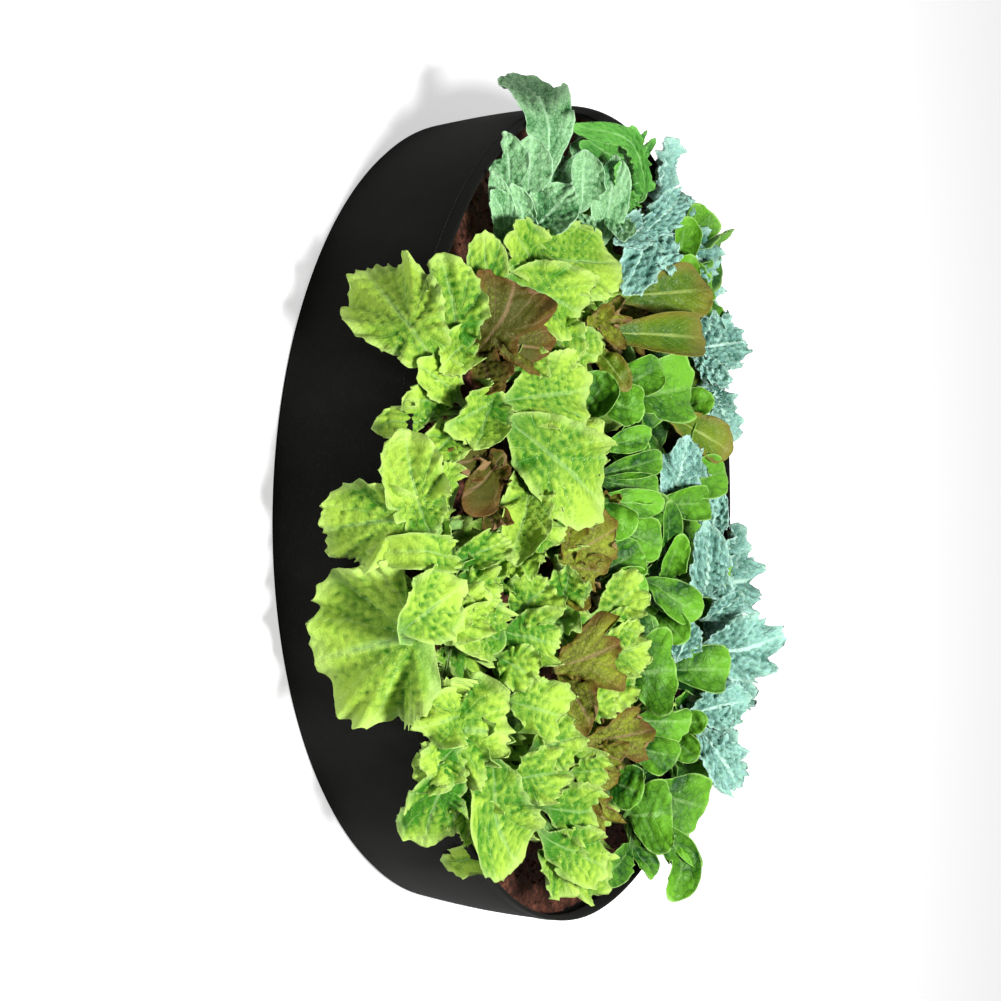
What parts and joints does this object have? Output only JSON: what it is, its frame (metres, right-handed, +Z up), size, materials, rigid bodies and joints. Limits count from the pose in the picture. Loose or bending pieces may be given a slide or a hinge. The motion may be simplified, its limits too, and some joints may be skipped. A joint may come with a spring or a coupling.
{
  "type": "raised garden bed",
  "caption": "Round soft-sided raised garden bed of black felt, filled with soil and planted with lettuces, kale, sage and rocket that lean over the rim.",
  "frame": {"origin": "centre of the base's underside, on the ground", "axes": "+Z up; -Y towards the side with the hanging leaves, which the picture shows in front; +X to that side's right"},
  "size_m": [1.3112, 1.3093, 0.3944],
  "materials": {
    "felt": "matt non-woven felt",
    "thread": "spun sewing thread",
    "soil": "loose potting mix of composted bark and peat",
    "leaf_lettuce": "soft blistered leaf",
    "red_lettuce": "soft bronze leaf",
    "butterhead": "smooth leaf",
    "romaine": "smooth ribbed leaf",
    "kale": "crinkled waxy leaf",
    "sage": "downy grey-green leaf",
    "rocket": "lobed leaf"
  },
  "bodies": {
    "root": {"base_panel": "felt", "wall_panel": "felt", "hem_thread": "thread", "side_seam_thread": "thread", "base_seam_thread": "thread", "soil_fill": "soil", "kale_1": "kale", "kale_2": "kale", "kale_3": "kale", "kale_4": "kale", "butterhead_1": "butterhead", "romaine_1": "romaine", "romaine_2": "romaine", "butterhead_2": "butterhead", "butterhead_3": "butterhead", "butterhead_4": "butterhead", "butterhead_5": "butterhead", "butterhead_6": "butterhead", "butterhead_7": "butterhead", "butterhead_8": "butterhead", "butterhead_9": "butterhead", "red_lettuce_1": "red_lettuce", "red_lettuce_2": "red_lettuce", "red_lettuce_3": "red_lettuce", "red_lettuce_4": "red_lettuce", "red_lettuce_5": "red_lettuce", "red_lettuce_6": "red_lettuce", "leaf_lettuce_1": "leaf_lettuce", "leaf_lettuce_2": "leaf_lettuce", "leaf_lettuce_3": "leaf_lettuce", "leaf_lettuce_4": "leaf_lettuce", "leaf_lettuce_5": "leaf_lettuce", "leaf_lettuce_6": "leaf_lettuce", "leaf_lettuce_7": "leaf_lettuce", "leaf_lettuce_8": "leaf_lettuce", "leaf_lettuce_9": "leaf_lettuce", "leaf_lettuce_10": "leaf_lettuce", "leaf_lettuce_11": "leaf_lettuce", "leaf_lettuce_12": "leaf_lettuce", "leaf_lettuce_13": "leaf_lettuce", "leaf_lettuce_14": "leaf_lettuce", "leaf_lettuce_15": "leaf_lettuce", "sage_1": "sage", "rocket_1": "rocket"}
  },
  "joints": []
}
